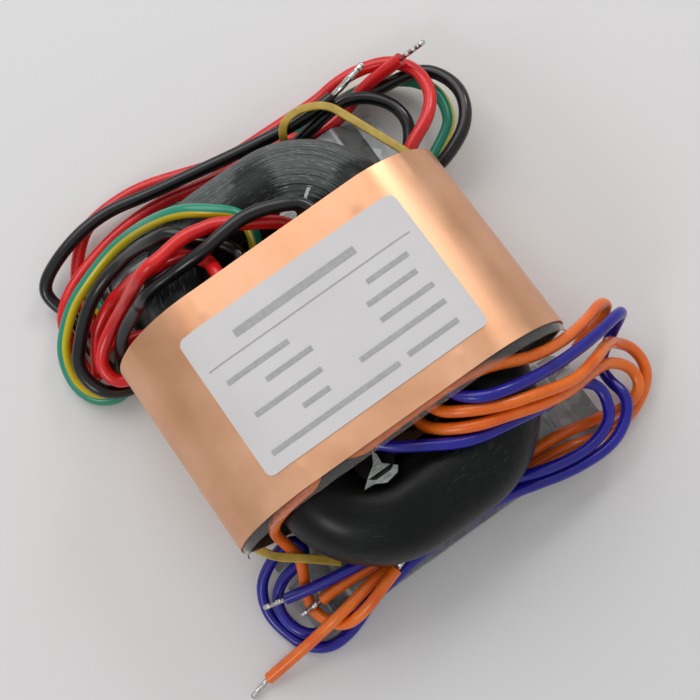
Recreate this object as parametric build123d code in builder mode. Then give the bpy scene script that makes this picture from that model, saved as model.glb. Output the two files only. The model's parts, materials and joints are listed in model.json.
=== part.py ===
from build123d import *
import math
import os

# An R-core transformer of about 20 VA, lying on its two mounting brackets.
# X runs across the two legs, Y along them, and Z is up from the underside of the feet.
# The origin is on the floor, under the centre of the core.
# Sizes are in millimetres.

# Core: a closed ring of round section
core_section = 17.0  # diameter of the wound section
leg_pitch = 33.2  # between the axes of the two legs
core_length = 76.5  # over both yokes
corner_inside = 3.0  # inner radius at the window's corners

# Bobbins: two half shells round each leg, with toothed flanges
bore_clearance = 0.3  # between the leg and the bobbin's bore
tube_wall = 1.0
flange_thickness = 1.2
bobbin_end_space = 2.95  # between each end of a bobbin and the yoke
coil_gap = 0.4  # between the flanges of the two coils
tooth_count = 36
tooth_depth = 0.7
split_gap = 0.1  # between the two half shells
lead_slot_width = 3.2
lead_slot_depth = 3.8
lead_slot_angles = (23, 42, 62, 82)  # round the leg's axis, from the line towards the other leg

# Windings, from the bobbin tube outwards
fit_gap = 0.05  # between one layer and the next
primary_build = 2.5
interlayer_tape = 0.3
outer_tape = 0.4
winding_rim = 0.8  # how far the flanges stand above the outer tape

# Flux band, the film under it, and the label on it
film_thickness = 0.2
film_overhang = 1.6  # how far the film stands out in front of the band
band_thickness = 0.3
band_overhang = 0.6  # how far the band stands out past each end of the bobbins
band_offset = -0.9  # along the legs, from the core's centre
band_fold = 0.4  # how far the fold at each end of the band stands out past a plain arc
band_seam_lap = 9.0  # second layer of foil where its ends are soldered, under the coils
label_width = 43.4
label_depth = 27.4
label_corner = 1.4
label_thickness = 0.15
label_gap = 0.02  # glue between the band and the label
label_offset = -1.5  # along the legs, from the core's centre

# Brackets, and the fibre pads that the yokes rest on
floor_gap = 0.6  # between the flux band and the floor
plate_thickness = 1.0
bend_radius = 0.6  # inside each bend
pad_thickness = 3.5
pad_half = 11.0
pad_depth = 4.4
pad_inset = 0.55  # how far the pad's middle is inside the yoke's axis
seat_gap = 0.05  # between the yoke and its pad
bobbin_end_gap = 0.3  # between the bobbin's end and the plate's inner edge
bracket_margin = 0.15  # how far the lip's outer face is past the end of the core
plate_half = 23.4  # half width of the raised plate
foot_start = 28.0  # where the slope meets the foot
foot_end = 32.2
foot_corner = 2.0
notch_width = 3.6
notch_end = 29.3  # where the notch's round end stops
notch_inset = 13.0  # from the lip's outer face to the notches' axis
lip_half = 16.5
lip_height = 1.8  # above the plate
lip_relief = 1.2  # width of the slot at each end of the lip
lip_relief_depth = 2.2
shank_width = 4.6
shank_x = 5.0  # axis of the tongue's shank
head_width = 6.8
head_x = 6.4  # axis of the tongue's head
head_start = 23.6  # height where the tongue bends over the yoke
head_angle = 34  # slope of the head
head_reach = 6.0  # how far the head goes out

# Leads, their bare ends, and the rubber bands that hold them in a bundle
primary_sleeve = 2.5  # outside diameter of the red, black and green/yellow leads
secondary_sleeve = 2.1  # outside diameter of the orange and blue leads
tip_diameter = 1.0
tip_length = 4.5
rubber_width = 1.6

core_radius = core_section / 2
centre_radius = corner_inside + core_radius
flange_radius = (leg_pitch - coil_gap) / 2
bobbin_length = core_length - 2 * core_section - 2 * bobbin_end_space
bore_radius = core_radius + bore_clearance
tube_radius = bore_radius + tube_wall
winding_length = bobbin_length - 2 * flange_thickness
winding_outer = flange_radius - winding_rim
layer_gaps = 4 * fit_gap
secondary_build = (
    winding_outer - tube_radius - layer_gaps - primary_build - interlayer_tape - outer_tape
)
band_length = bobbin_length + 2 * band_overhang
film_inner = flange_radius + fit_gap
band_inner = film_inner + film_thickness + fit_gap
band_outer = band_inner + band_thickness
seam_outer = band_outer + band_thickness
core_height = floor_gap + seam_outer
leg_x = leg_pitch / 2
yoke_y = core_length / 2 - core_radius
plate_top = core_height - core_radius - seat_gap - pad_thickness
plate_bottom = plate_top - plate_thickness
tongue_face = bobbin_length / 2 + bobbin_end_gap
bracket_inner = tongue_face + plate_thickness + bend_radius
bracket_outer = core_length / 2 + bracket_margin
notch_y = bracket_outer - notch_inset
pad_y = yoke_y - pad_inset

os.makedirs("parts", exist_ok=True)


def save(block, name):
    block.part.label = name
    export_step(block.part, f"parts/{name}.step")


# The wound ring: a quarter of it, mirrored twice
with BuildPart() as core:
    with BuildSketch(Plane.XZ):
        with Locations((leg_x, core_height)):
            Circle(core_radius)
    extrude(amount=-(yoke_y - centre_radius))
    with BuildSketch(Plane.YZ):
        with Locations((yoke_y, core_height)):
            Circle(core_radius)
    extrude(amount=leg_x - centre_radius)
    with BuildSketch(Plane.XZ.offset(-(yoke_y - centre_radius))):
        with Locations((leg_x, core_height)):
            Circle(core_radius)
    corner_x = leg_x - centre_radius
    corner_y = yoke_y - centre_radius
    revolve(axis=Axis((corner_x, corner_y, 0), (0, 0, 1)), revolution_arc=90)
    mirror(about=Plane.YZ)
    mirror(about=Plane.XZ)
save(core, "r_core")


# One half of a bobbin round the leg on the given side, above or below the split
def bobbin_half(side, level):
    axis_x = side * leg_x
    with BuildPart() as shell:
        for y in (-bobbin_length / 2, bobbin_length / 2 - flange_thickness):
            with BuildSketch(Plane.XZ.offset(-y)):
                with Locations((axis_x, core_height)):
                    Circle(flange_radius - tooth_depth)
                    with PolarLocations(flange_radius - tooth_depth, tooth_count):
                        Rectangle(2 * tooth_depth - 0.02, 1.4)
                    Circle(bore_radius, mode=Mode.SUBTRACT)
                    slot_start = flange_radius - lead_slot_depth / 2 + 0.3
                    for angle in lead_slot_angles:
                        turn = angle if side < 0 else 180 - angle
                        with PolarLocations(slot_start, 1, start_angle=turn):
                            Rectangle(lead_slot_depth, lead_slot_width, mode=Mode.SUBTRACT)
            extrude(amount=-flange_thickness)
        with BuildSketch(Plane.XZ.offset(-bobbin_length / 2)):
            with Locations((axis_x, core_height)):
                Circle(tube_radius)
                Circle(bore_radius, mode=Mode.SUBTRACT)
        extrude(amount=bobbin_length)
        half = 2 * flange_radius
        with Locations((axis_x, 0, core_height + level * (half + split_gap) / 2)):
            Box(half, 2 * bobbin_length, half, mode=Mode.INTERSECT)
    return shell


for side, side_name in ((-1, "left"), (1, "right")):
    for level, level_name in ((1, "upper"), (-1, "lower")):
        save(bobbin_half(side, level), f"bobbin_{side_name}_{level_name}")


# One ring wound on a leg, and the radius where the next one starts
def wound_ring(side, inner, build):
    with BuildPart() as ring:
        with BuildSketch(Plane.XZ.offset(-winding_length / 2 + fit_gap)):
            with Locations((side * leg_x, core_height)):
                Circle(inner + build)
                Circle(inner, mode=Mode.SUBTRACT)
        extrude(amount=winding_length - 2 * fit_gap)
    return ring


layers = (
    ("primary", primary_build),
    ("inner_tape", interlayer_tape),
    ("secondary", secondary_build),
    ("outer_tape", outer_tape),
)
for side, side_name in ((-1, "left"), (1, "right")):
    start = tube_radius + fit_gap
    for layer_name, build in layers:
        save(wound_ring(side, start, build), f"{layer_name}_{side_name}")
        start += build + fit_gap


# Section of a sheet pulled round both coils, with a fold at each end if it turns there
def wrap(radius, turn=0.0, mode=Mode.ADD):
    with Locations((0, core_height)):
        SlotOverall(leg_pitch + 2 * radius, 2 * radius, mode=mode)
    if turn:
        rim_z = radius * math.sin(turn)
        for side in (-1, 1):
            rim_x = side * (leg_x + radius * math.cos(turn))
            Polygon(
                (side * leg_x, core_height),
                (rim_x, core_height + rim_z),
                (side * (leg_x + radius / math.cos(turn)), core_height),
                (rim_x, core_height - rim_z),
                align=None,
                mode=mode,
            )


# The clear film: all round under the band, and standing out in front of it above the leads
front = band_offset - band_length / 2
with BuildPart() as film:
    with BuildSketch(Plane.XZ.offset(-front)):
        wrap(film_inner + film_thickness)
        wrap(film_inner, mode=Mode.SUBTRACT)
    extrude(amount=-band_length)
    with BuildSketch(Plane.XZ.offset(-front)):
        wrap(film_inner + film_thickness)
        wrap(film_inner, mode=Mode.SUBTRACT)
        with Locations((0, core_height)):
            Rectangle(
                4 * leg_pitch,
                2 * film_inner,
                align=(Align.CENTER, Align.MAX),
                mode=Mode.SUBTRACT,
            )
    extrude(amount=film_overhang)
save(film, "insulating_film")

# The flux band: copper foil round both coils, its ends lapped and soldered underneath
fold_turn = math.acos(band_outer / (band_outer + band_fold))
with BuildPart() as band:
    with BuildSketch(Plane.XZ.offset(-front)):
        wrap(band_outer, fold_turn)
        wrap(band_inner, fold_turn, mode=Mode.SUBTRACT)
        with Locations((0, core_height - band_outer)):
            Rectangle(band_seam_lap, band_thickness, align=(Align.CENTER, Align.MAX))
    extrude(amount=-band_length)
save(band, "flux_band")

# The label, which follows the band
with BuildPart() as label:
    with BuildSketch(Plane.XZ.offset(-front)):
        wrap(band_outer + label_gap + label_thickness)
        wrap(band_outer + label_gap, mode=Mode.SUBTRACT)
    extrude(amount=-band_length)
    with BuildSketch(Plane.XY.offset(core_height)):
        with Locations((0, label_offset)):
            RectangleRounded(label_width, label_depth, label_corner)
    extrude(amount=2 * band_outer, mode=Mode.INTERSECT)
save(label, "label")


# The front bracket's tongue: it comes up inside the window and is bent over the yoke
bend_turn = math.radians(90 - head_angle)
head_out = head_reach * math.cos(math.radians(head_angle))
head_up = head_reach * math.sin(math.radians(head_angle))
tongue_back = tongue_face + plate_thickness
bend_shift = plate_thickness * math.tan(bend_turn / 2)
end_out = plate_thickness * math.sin(math.radians(head_angle))
end_up = plate_thickness * math.cos(math.radians(head_angle))
with BuildPart() as tongue:
    with BuildSketch(Plane.YZ.offset(-head_x - head_width)):
        with BuildLine():
            near_face = FilletPolyline(
                (-bracket_inner - 1, plate_bottom),
                (-tongue_face, plate_bottom),
                (-tongue_face, head_start + bend_shift),
                (-tongue_back - head_out + end_out, head_start + head_up + end_up),
                radius=(bend_radius + plate_thickness, bend_radius + plate_thickness),
            )
            far_face = FilletPolyline(
                (-bracket_inner - 1, plate_top),
                (-tongue_back, plate_top),
                (-tongue_back, head_start),
                (-tongue_back - head_out, head_start + head_up),
                radius=(bend_radius, bend_radius),
            )
            Line(near_face @ 0, far_face @ 0)
            Line(near_face @ 1, far_face @ 1)
        make_face()
    extrude(amount=2 * head_width)
    with BuildSketch(Plane.XZ.offset(tongue_face - 1)):
        with Locations((-shank_x, 0)):
            Rectangle(shank_width, head_start, align=(Align.CENTER, Align.MIN))
        with Locations((-head_x, head_start - 0.4)):
            Rectangle(head_width, 2 * head_reach, align=(Align.CENTER, Align.MIN))
    extrude(amount=3 * head_reach, mode=Mode.INTERSECT)
    with BuildSketch(Plane.XY):
        with Locations((-head_x, 0)):
            tip_y = tongue_back + head_out - head_width / 2
            Rectangle(head_width, tip_y, align=(Align.CENTER, Align.MAX))
        with Locations((-head_x, -tip_y)):
            Circle(head_width / 2)
    extrude(amount=2 * core_height, mode=Mode.INTERSECT)

# The front bracket: feet, slopes and raised plate bent from one strip, with a lip outside
slope_turn = math.atan2(plate_bottom, foot_start - plate_half)
slope_shift = plate_thickness * math.tan(slope_turn / 2)
with BuildPart() as front_bracket:
    with BuildSketch(Plane.XZ.offset(bracket_outer)):
        with BuildLine():
            top_face = FilletPolyline(
                (-foot_end, plate_thickness),
                (-foot_start, plate_thickness),
                (-plate_half, plate_top),
                (plate_half, plate_top),
                (foot_start, plate_thickness),
                (foot_end, plate_thickness),
                radius=(
                    bend_radius,
                    bend_radius + plate_thickness,
                    bend_radius + plate_thickness,
                    bend_radius,
                ),
            )
            bottom_face = FilletPolyline(
                (-foot_end, 0),
                (-foot_start + slope_shift, 0),
                (-plate_half + slope_shift, plate_bottom),
                (plate_half - slope_shift, plate_bottom),
                (foot_start - slope_shift, 0),
                (foot_end, 0),
                radius=(
                    bend_radius + plate_thickness,
                    bend_radius,
                    bend_radius,
                    bend_radius + plate_thickness,
                ),
            )
            Line(top_face @ 0, bottom_face @ 0)
            Line(top_face @ 1, bottom_face @ 1)
        make_face()
    extrude(amount=-(bracket_outer - bracket_inner))
    with BuildSketch(Plane.XY) as plan:
        with Locations((0, -bracket_inner)):
            Rectangle(
                2 * foot_end,
                bracket_outer - bracket_inner,
                align=(Align.CENTER, Align.MAX),
            )
        fillet(plan.vertices(), foot_corner)
        for side in (-1, 1):
            with Locations((side * (notch_end + notch_width / 2), -notch_y)):
                Circle(notch_width / 2, mode=Mode.SUBTRACT)
            with Locations((side * (notch_end + notch_width / 2 + foot_end / 2), -notch_y)):
                Rectangle(foot_end, notch_width, mode=Mode.SUBTRACT)
            with Locations((side * (lip_half + lip_relief / 2), -bracket_outer)):
                Rectangle(lip_relief, 2 * lip_relief_depth, mode=Mode.SUBTRACT)
    extrude(amount=plate_top, mode=Mode.INTERSECT)
    with Locations((0, -bracket_outer, plate_top)):
        Box(
            2 * lip_half,
            plate_thickness,
            lip_height,
            align=(Align.CENTER, Align.MIN, Align.MIN),
        )
    add(tongue.part)
save(front_bracket, "bracket_front")
with BuildPart() as back_bracket:
    add(front_bracket.part, rotation=(0, 0, 180))
save(back_bracket, "bracket_back")

# The fibre pads between the plates and the yokes
for side, side_name in ((-1, "front"), (1, "back")):
    with BuildPart() as pad:
        with Locations((0, side * pad_y, plate_top)):
            Box(
                2 * pad_half,
                pad_depth,
                pad_thickness,
                align=(Align.CENTER, Align.CENTER, Align.MIN),
            )
    save(pad, f"yoke_pad_{side_name}")

# The routes of the leads, from the slot in the bobbin to the free end
lead_routes = {
    "lead_orange_1": (
        (5.9, -17.6, 27.6), (6.2, -20.8, 28.8), (10, -24, 31), (15.5, -26.8, 31),
        (21.5, -28.3, 28.6), (28.5, -29.5, 23.5), (34.5, -28, 20), (38.5, -26.3, 14.5),
        (40.5, -26.4, 9.5), (43, -28.5, 6.5), (43.3, -32.5, 5), (41, -35.5, 4), (36, -38, 3.2),
        (30, -38.2, 3.2), (24.5, -36.8, 7.6), (18.5, -35.6, 7), (9, -35.4, 7), (-2, -35.6, 7),
        (-12.8, -35.5, 7), (-17.2, -35.4, 9.2), (-22.5, -36.5, 9.4), (-28, -37.3, 9),
        (-34.5, -37.8, 4.9), (-44, -38.3, 1.3),
    ),
    "lead_orange_2": (
        (3.4, -17.6, 23.6), (3.3, -20.6, 24.8), (5, -23.6, 28), (10.5, -27, 29.7),
        (16, -28.5, 29), (21.3, -29.9, 26.6), (27, -30.2, 21.9), (33, -29, 15.5),
        (37.5, -28.7, 10.5), (40.5, -31.5, 7.6), (40, -35.2, 6.4), (36, -36.5, 5.4),
        (31.5, -35.3, 4.6), (27.5, -34.6, 5.6), (23.4, -33.8, 7.6), (18, -33.4, 7),
        (9, -33.2, 7), (-2, -33.4, 7), (-11, -33.2, 7), (-17, -33.5, 7.4), (-22.5, -32.9, 7.5),
        (-28, -33, 7.1),
    ),
    "lead_orange_3": (
        (-14.6, -17.6, 32.2), (-16, -19.5, 31.9), (-20, -19.4, 30), (-25, -19.4, 25),
        (-27.6, -19.6, 16.5), (-27.3, -21.7, 11), (-26.6, -25, 9), (-28.6, -28.3, 6.1),
        (-30.2, -31.5, 5), (-30.2, -35, 4.9), (-27.4, -39.1, 6.8), (-22.6, -39.2, 9.8),
        (-17.6, -37.7, 11.3), (-14, -37, 11.2),
    ),
    "lead_orange_4": (
        (-9.8, -17.6, 30.7), (-8.3, -19.5, 31.2), (-2, -19.4, 32.4), (6, -19.4, 33.2),
        (12, -19.5, 33.2), (18, -20.4, 31.6), (24.5, -22.9, 28.2), (31, -23, 23.6),
        (37.5, -21.6, 17.8), (42.3, -19.6, 13), (43.2, -20.8, 10.6), (40.6, -21.2, 8),
        (37.4, -21.8, 6.2), (35.4, -22.5, 4),
    ),
    "lead_blue_1": (
        (9.8, -17.6, 30.7), (9.8, -20.4, 30.8), (13.3, -24, 32.6), (17.5, -25.3, 31.9),
        (23.5, -25.9, 28.4), (30, -25.7, 24), (37, -24.8, 19.5), (43.3, -23.3, 15),
        (44.3, -23.2, 11.5), (41, -24.7, 7), (36.5, -27.5, 6.2), (35.8, -31, 7.8),
        (36.6, -35, 8.6), (34.5, -38.2, 8), (29.5, -40.7, 7.7), (21.5, -40.4, 8.7),
        (14.6, -38.7, 9.5), (8, -36.8, 9.1), (-2, -36.5, 9.2), (-10, -36.7, 9.1),
        (-14.5, -37.4, 8.9), (-18, -37.8, 8.8), (-21.5, -37.8, 7.2), (-24.6, -37.4, 7.3),
        (-28.2, -36.5, 3.4), (-31.5, -37.5, 2.5), (-34.5, -35.5, 3.2), (-35.8, -31, 3.2),
        (-34.5, -27.5, 4), (-31.5, -25.7, 5.2), (-28.5, -25.4, 5.7), (-25.6, -24.6, 6),
        (-25.6, -21.5, 6), (-28.5, -21, 5.6), (-31.8, -22, 4.8), (-35, -23.6, 3.6),
        (-36.8, -26, 2.6), (-37.7, -29.2, 1.8), (-37.2, -32.8, 1.1), (-35.6, -37.4, 1.1),
        (-31.8, -40.4, 1.1), (-26.8, -40, 1.1), (-22.3, -38.2, 1.1), (-17, -35.5, 1.1),
    ),
    "lead_blue_2": (
        (-5.9, -17.6, 27.6), (-3.5, -21, 28.2), (2, -24.6, 28.4), (8.3, -28.3, 27.9),
        (16.3, -29.5, 27.1), (22.3, -30, 22.6), (27.5, -29, 16.5), (31.1, -29, 12.6),
        (33.3, -31, 10.8), (33.1, -34, 10), (31.3, -37.2, 9.4), (26.5, -38.8, 9.4),
        (21.2, -38.5, 10.5), (15.7, -37.2, 10.9), (11, -35.3, 9.7), (6, -34.4, 8.9),
        (-1, -34.2, 8.9), (-8, -34.4, 9), (-13, -32.9, 9.3), (-19.6, -31.9, 9.7),
        (-25.9, -31, 8.8), (-33, -29.2, 7.2),
    ),
    "lead_black_1": (
        (-5.9, 17.6, 27.6), (-4.6, 20.4, 27.8), (-5.4, 23.4, 27.7), (-8.4, 27.4, 28),
        (-10.5, 29, 27.8), (-12.5, 31.5, 27.6), (-15, 32.5, 26.1), (-18, 34.5, 22.2),
        (-22.5, 37, 15.4), (-28.5, 37, 12), (-34, 34.5, 10), (-37.5, 31.5, 8.8),
        (-40.5, 28.5, 7.8), (-41, 25, 6.8), (-39.6, 21.4, 5.8), (-36, 19.6, 4),
        (-32, 19.7, 2.8), (-29.6, 22.4, 2.4), (-29.2, 27.5, 2.4), (-29.3, 33.4, 2.4),
        (-29.4, 38, 2.6), (-28.2, 41.2, 1.9), (-22.5, 42.4, 1.4), (-14, 42.3, 1.4),
        (-5, 41.4, 1.4), (3, 41, 1.4), (10, 40.6, 2.2), (15, 40, 4.8), (19.5, 39.9, 7),
        (23.5, 40.5, 7.6), (28, 40.9, 7.6), (32.2, 39.2, 7.2), (35.4, 35.2, 7), (36, 30.6, 7),
        (34, 27.2, 6.5), (30.8, 24.2, 6), (30.8, 20.8, 6.4), (34.5, 19.4, 7.5), (39, 20.2, 9),
        (43.5, 22.4, 9.8), (46.3, 26.6, 9.5), (46.9, 31.5, 8), (44.8, 36.6, 6.8),
        (40.5, 38.8, 5.8), (36.5, 39.1, 5),
    ),
    "lead_black_2": (
        (9.8, 17.6, 30.7), (9.4, 20.2, 31), (6.5, 22.2, 31.8), (0.5, 24.3, 32.3),
        (-4.5, 24, 32.6), (-9, 23.5, 32), (-13.5, 24, 30.6), (-16.5, 24.5, 29), (-20, 25, 27.4),
        (-22.5, 25, 25.5), (-25, 26.3, 19.8), (-30.8, 26.2, 12.4), (-33, 24.6, 8.2),
        (-34.6, 23.8, 5), (-36.6, 25, 2.2), (-37.5, 29, 1.3), (-37.6, 34, 1.3),
        (-37.2, 39.5, 1.3), (-38.8, 43, 2.6), (-38.4, 46, 4.4), (-33.5, 48.2, 6),
        (-26.4, 49.9, 6.8), (-19.4, 49.9, 7.2), (-12.4, 47.9, 7.6), (-3, 45.9, 8.2),
        (7, 43.9, 8.4), (16.1, 42, 9.4), (22, 41.2, 10.4), (26.5, 41.3, 11),
    ),
    "lead_red_1": (
        (5.9, 17.6, 27.6), (5.3, 20.2, 28.1), (2.2, 22.4, 29), (-1.6, 24.6, 29.8),
        (-5, 27, 30.2), (-7.5, 27.5, 30.4), (-10, 28, 30.8), (-13, 28, 30.6), (-16, 27.4, 30.7),
        (-19, 27.5, 30.3), (-21.5, 27.6, 27.7), (-24, 28.5, 22.6), (-26.5, 29, 17.6),
        (-30, 29, 13.4), (-35, 27.2, 10.2), (-37.2, 24.4, 8.8), (-36.4, 20.9, 7.4),
        (-32.5, 20, 6.9), (-28, 20.4, 7.1), (-25, 22.6, 7.4), (-26.5, 25.4, 7.2),
        (-30.2, 26.8, 6.2), (-33.3, 28.1, 5.2), (-34.9, 30.6, 2.8), (-35, 34.4, 1.3),
        (-34.6, 38.6, 1.3), (-33.8, 42.5, 1.3), (-31.7, 45.6, 2.2), (-29, 48.4, 3.2),
        (-25.2, 51.2, 4), (-19, 51.8, 4.4), (-12.5, 51.3, 4.4), (-5.5, 49.3, 3.6), (3, 47, 1.5),
        (12, 46.8, 1.3), (20, 46.3, 1.9), (25, 45.8, 2.6), (29.6, 46, 4), (34.8, 44.9, 5.6),
        (39.8, 42.3, 7.2), (42.6, 37.4, 9.2), (42.1, 31.4, 11), (38.6, 27, 12.4),
        (33.8, 24.8, 12.6), (29.2, 22.6, 11), (27.6, 20.6, 8),
    ),
    "lead_red_2": (
        (-9.8, 17.6, 30.7), (-9.6, 20, 30.3), (-9.6, 23, 28), (-12, 26, 27.7),
        (-14.5, 27.5, 27.8), (-17, 28, 26.8), (-19.5, 28.5, 26.4), (-22, 30.5, 21.4),
        (-25.5, 32.5, 14.4), (-28.5, 34, 9.8), (-34.2, 32, 6.8), (-36.8, 28.9, 5.3),
        (-38.8, 25.5, 4.4), (-40.6, 25.9, 2.6), (-40.9, 28.8, 1.3), (-40.3, 33, 1.5),
        (-39.6, 37.4, 3.4), (-37, 40.4, 4.6), (-32.9, 42.9, 4.7), (-27.4, 44.8, 4.4),
        (-21.6, 46, 4.8), (-15.2, 46.4, 4.8), (-9.8, 46, 5), (-3, 44.2, 5), (3.2, 43.1, 4.8),
        (9.5, 43.2, 4.2), (15, 42.7, 3.6), (19, 40.8, 2.8), (24, 39.8, 2.6), (28.5, 40.9, 2.6),
        (32, 41.6, 4), (36, 41, 7.4), (41, 39.5, 11.6),
    ),
    "lead_green_yellow": (
        (-3.4, 17.6, 23.6), (-2, 20.4, 24.6), (-0.4, 23.4, 26.4), (-0.8, 27, 27.9),
        (-4.5, 30, 28.6), (-8.2, 33.3, 27.7), (-13, 36.4, 23.8), (-19, 40.5, 14.8),
        (-24.5, 41, 11.6), (-30.5, 40, 9),
        (-35.2, 38.7, 7.2), (-38.8, 36.2, 6), (-41.6, 33.6, 4.8), (-43.2, 30.4, 3.4),
        (-43.8, 26.6, 1.9), (-42.2, 22.6, 1.3), (-38, 20.2, 1.3), (-34.4, 22, 1.6),
        (-32.4, 25.2, 2.5), (-31.8, 30, 2.4), (-32, 36, 2.7), (-31.9, 41.3, 2.1),
        (-28.3, 44.7, 1.3), (-21, 45.6, 1.3), (-13, 45.4, 1.3), (-4, 44.2, 1.3), (5, 43.6, 1.3),
        (14, 44.1, 1.3), (22, 43.4, 1.3), (29.5, 43.5, 1.3), (36.5, 42.2, 2), (42, 38.2, 3.2),
        (44.2, 32.8, 4.6), (43.3, 27.6, 5.6), (40.9, 24.6, 5.2), (37.4, 23, 4.2),
    ),
}
lead_sleeves = {
    "orange": secondary_sleeve,
    "blue": secondary_sleeve,
    "black": primary_sleeve,
    "red": primary_sleeve,
    "green": primary_sleeve,
}

# The routes of the rubber bands, where they can be seen
band_routes = {
    "rubber_band_front": (
        (-33.6, -16.4, 6.4), (-32.2, -19.2, 6.8), (-30.2, -22.4, 9.7), (-27.2, -24.9, 12.5),
        (-24, -27.4, 11.2), (-21.2, -29.8, 9.4),
    ),
    "rubber_band_back": (
        (14.6, 39.4, 8.2), (14.4, 40.2, 11), (16.4, 42.2, 12.7), (20, 42.4, 13),
        (24.6, 40, 13.2), (26.2, 35.6, 13.8), (28.8, 28.5, 14.2), (31.2, 22, 14.4),
    ),
}


# A path of straight runs joined by arcs, and the radius of its tightest arc
def route(points):
    radii = []
    for before, here, after in zip(points, points[1:], points[2:]):
        run_in = Vector(*here) - Vector(*before)
        run_out = Vector(*after) - Vector(*here)
        half_turn = math.radians(run_in.get_angle(run_out)) / 2
        radii.append(0.45 * min(run_in.length, run_out.length) / math.tan(half_turn))
    with BuildLine() as line:
        FilletPolyline(*points, radius=radii)
    return line.wires()[0], min(radii)


# A round tube along the route
def tube(name, points, diameter):
    path, tightest = route(points)
    with BuildPart() as solid:
        with BuildSketch(Plane(origin=path @ 0, z_dir=path % 0)):
            Circle(diameter / 2)
        sweep(path=path)
    save(solid, name)
    section = math.pi * diameter**2 / 4
    share = solid.part.volume / (section * path.length)
    print(name, "length", round(path.length, 1), "tightest radius", round(tightest, 1))
    print("  volume against section times length", round(share, 3))
    return path


for name, points in lead_routes.items():
    colour = name.split("_")[1]
    path = tube(name, points, lead_sleeves[colour])
    with BuildPart() as tip:
        with BuildSketch(Plane(origin=path @ 1, z_dir=path % 1)):
            Circle(tip_diameter / 2)
        extrude(amount=tip_length)
    save(tip, name.replace("lead", "tip"))

for name, points in band_routes.items():
    tube(name, points, rubber_width)
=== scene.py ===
import json
import math

import bmesh
import bpy
from mathutils import Matrix, Vector, noise


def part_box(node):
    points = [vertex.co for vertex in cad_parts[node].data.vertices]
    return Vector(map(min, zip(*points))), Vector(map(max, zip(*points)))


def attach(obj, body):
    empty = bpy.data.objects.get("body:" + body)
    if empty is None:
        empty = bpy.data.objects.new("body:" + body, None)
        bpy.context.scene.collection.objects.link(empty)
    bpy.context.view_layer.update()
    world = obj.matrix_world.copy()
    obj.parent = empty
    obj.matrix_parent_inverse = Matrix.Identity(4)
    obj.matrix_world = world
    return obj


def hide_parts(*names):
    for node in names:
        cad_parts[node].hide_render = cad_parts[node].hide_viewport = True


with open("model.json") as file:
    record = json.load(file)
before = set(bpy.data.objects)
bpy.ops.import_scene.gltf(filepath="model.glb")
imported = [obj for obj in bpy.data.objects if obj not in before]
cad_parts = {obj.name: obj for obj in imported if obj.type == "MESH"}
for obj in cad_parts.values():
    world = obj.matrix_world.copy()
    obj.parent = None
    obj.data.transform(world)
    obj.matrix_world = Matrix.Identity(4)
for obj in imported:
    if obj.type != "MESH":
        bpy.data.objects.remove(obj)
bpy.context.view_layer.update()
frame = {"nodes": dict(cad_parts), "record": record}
nodes = frame["nodes"]
scene = bpy.context.scene


def hexColour(code):
    # sRGB hex to the linear colour that the shaders take
    parts = [int(code[i:i + 2], 16) / 255 for i in (1, 3, 5)]
    linear = [c / 12.92 if c <= 0.04045 else ((c + 0.055) / 1.055) ** 2.4 for c in parts]
    return (*linear, 1.0)


def addNode(tree, kind, sockets=None, **settings):
    node = tree.nodes.new(kind)
    for name, value in settings.items():
        setattr(node, name, value)
    for name, value in (sockets or {}).items():
        if isinstance(value, bpy.types.NodeSocket):
            tree.links.new(value, node.inputs[name])
        else:
            node.inputs[name].default_value = value
    return node


# Camera: high over the front left, a little turned, with a long lens
cameraSetup = {
    "place": (-0.00765, -0.0568, 0.2548),
    "azimuth": 9.33,
    "elevation": 76.74,
    "roll": -26.27,
    "lens": 72,
    "sensor": 36,
}
azimuth = math.radians(cameraSetup["azimuth"])
elevation = math.radians(cameraSetup["elevation"])
roll = math.radians(cameraSetup["roll"])
forward = Vector((
    math.sin(azimuth) * math.cos(elevation),
    math.cos(azimuth) * math.cos(elevation),
    -math.sin(elevation),
))
level = forward.cross(Vector((0, 0, 1))).normalized()
upright = level.cross(forward)
right = level * math.cos(roll) + upright * math.sin(roll)
up = upright * math.cos(roll) - level * math.sin(roll)
cameraData = bpy.data.cameras.new("camera")
cameraData.lens = cameraSetup["lens"]
cameraData.sensor_width = cameraSetup["sensor"]
camera = bpy.data.objects.new("camera", cameraData)
scene.collection.objects.link(camera)
camera.matrix_world = Matrix.Translation(cameraSetup["place"]) @ Matrix((
    (right.x, up.x, -forward.x, 0),
    (right.y, up.y, -forward.y, 0),
    (right.z, up.z, -forward.z, 0),
    (0, 0, 0, 1),
))
scene.camera = camera
print("camera set")

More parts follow.
